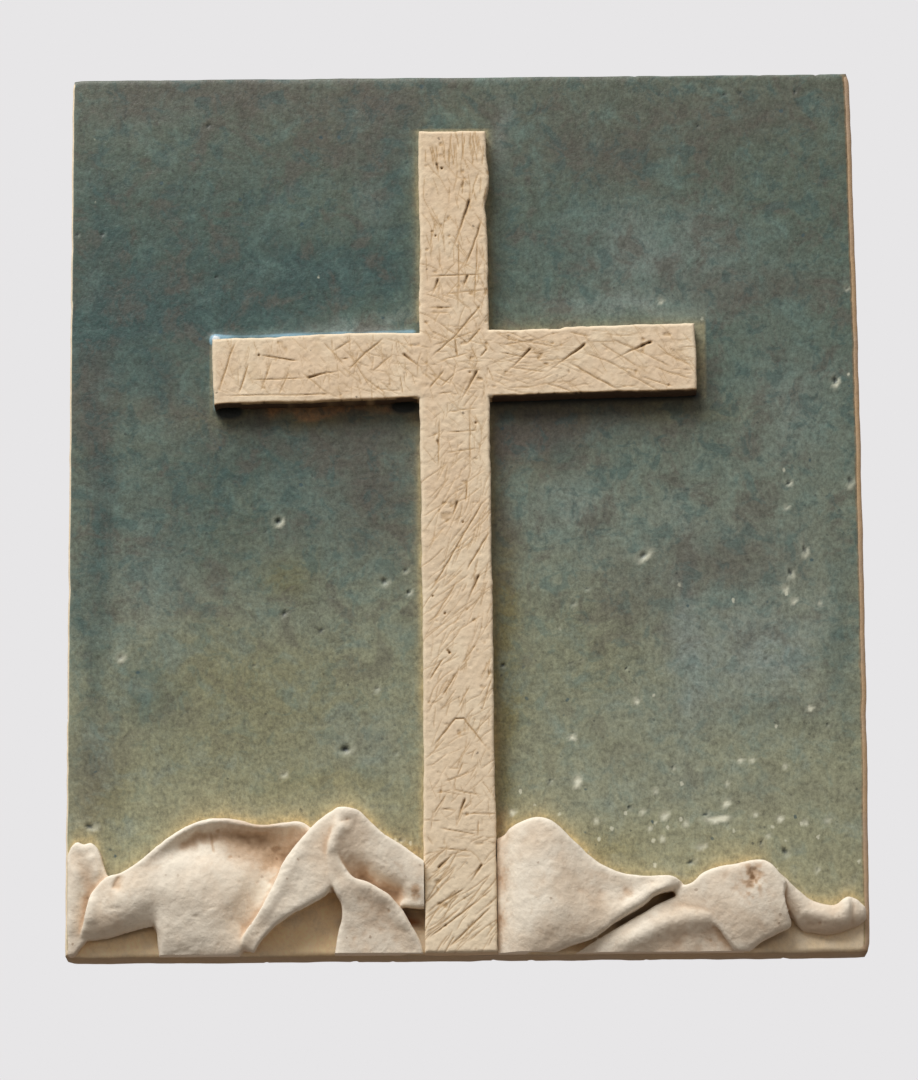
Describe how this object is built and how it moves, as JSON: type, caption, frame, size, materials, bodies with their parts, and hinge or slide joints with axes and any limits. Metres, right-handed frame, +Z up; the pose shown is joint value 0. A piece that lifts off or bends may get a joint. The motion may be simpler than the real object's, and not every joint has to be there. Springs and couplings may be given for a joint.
{
  "type": "ceramic cross wall plaque",
  "caption": "Glazed clay wall tile with an applied scored clay cross and folded clay drapery along its foot, flat back against the wall.",
  "frame": {"origin": "centre of the tile's flat back face, the plane that lies on the wall", "axes": "+X to the right as seen from the front, +Z up, +Y out of the back into the wall, so the relief faces -Y"},
  "size_m": [0.2028, 0.0238, 0.2296],
  "materials": {
    "tile_glaze": "satin",
    "cross_clay": "matte",
    "drapery_clay": "matte"
  },
  "bodies": {
    "root": {"tile": "tile_glaze", "cross": "cross_clay", "left_drapery": "drapery_clay", "right_drapery": "drapery_clay"}
  },
  "joints": []
}
